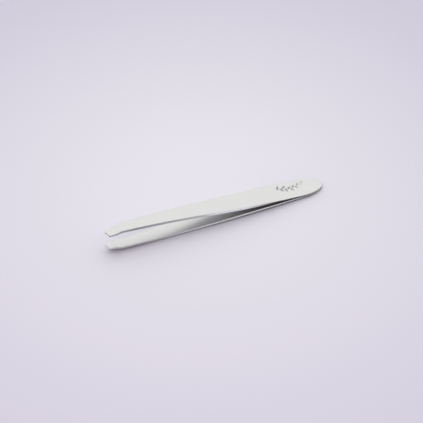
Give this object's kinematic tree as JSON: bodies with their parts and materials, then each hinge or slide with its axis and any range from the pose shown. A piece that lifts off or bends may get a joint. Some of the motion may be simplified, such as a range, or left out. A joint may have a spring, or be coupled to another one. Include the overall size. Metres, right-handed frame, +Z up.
{
  "type": "slant tweezers",
  "caption": "Flat spring-steel tweezers with a rounded welded head, bowed arms and jaws joggled inward to a slanted tip; squeezing the arms closes the tips to grip fine hairs.",
  "frame": {"origin": "middle of the tweezers' footprint on the table that they lie on", "axes": "+X along the tweezers from the tips to the rounded head, +Z up from the table through the two arms, +Y to the side that carries the leading corner of the slanted tip"},
  "size_m": [0.0951, 0.0098, 0.011],
  "materials": {
    "stainless_steel": "satin stainless steel with a fine grain along the strips and softly tumbled edges",
    "weld_steel": "matte fused weld metal, sealed between the strips"
  },
  "bodies": {
    "head": {"upper_arm_root": "stainless_steel", "lower_arm_root": "stainless_steel", "front_weld_nugget": "weld_steel", "rear_weld_nugget": "weld_steel"},
    "upper_arm": {"upper_arm": "stainless_steel"},
    "lower_arm": {"lower_arm": "stainless_steel"}
  },
  "joints": [
    {"name": "upper_arm_flex", "type": "hinge", "parent": "head", "child": "upper_arm", "pos_m": [0.02355, 0, 0.00301], "axis": [0, -1, 0], "range_deg": [0, 2.55], "stiffness_Nm_per_rad": 4},
    {"name": "lower_arm_flex", "type": "hinge", "parent": "head", "child": "lower_arm", "pos_m": [0.02344, 0, 0.00111], "axis": [0, 1, 0], "range_deg": [0, 2.55], "stiffness_Nm_per_rad": 4}
  ],
  "couplings": [
    {"joint": "lower_arm_flex", "follows": "upper_arm_flex", "ratio": 1}
  ]
}
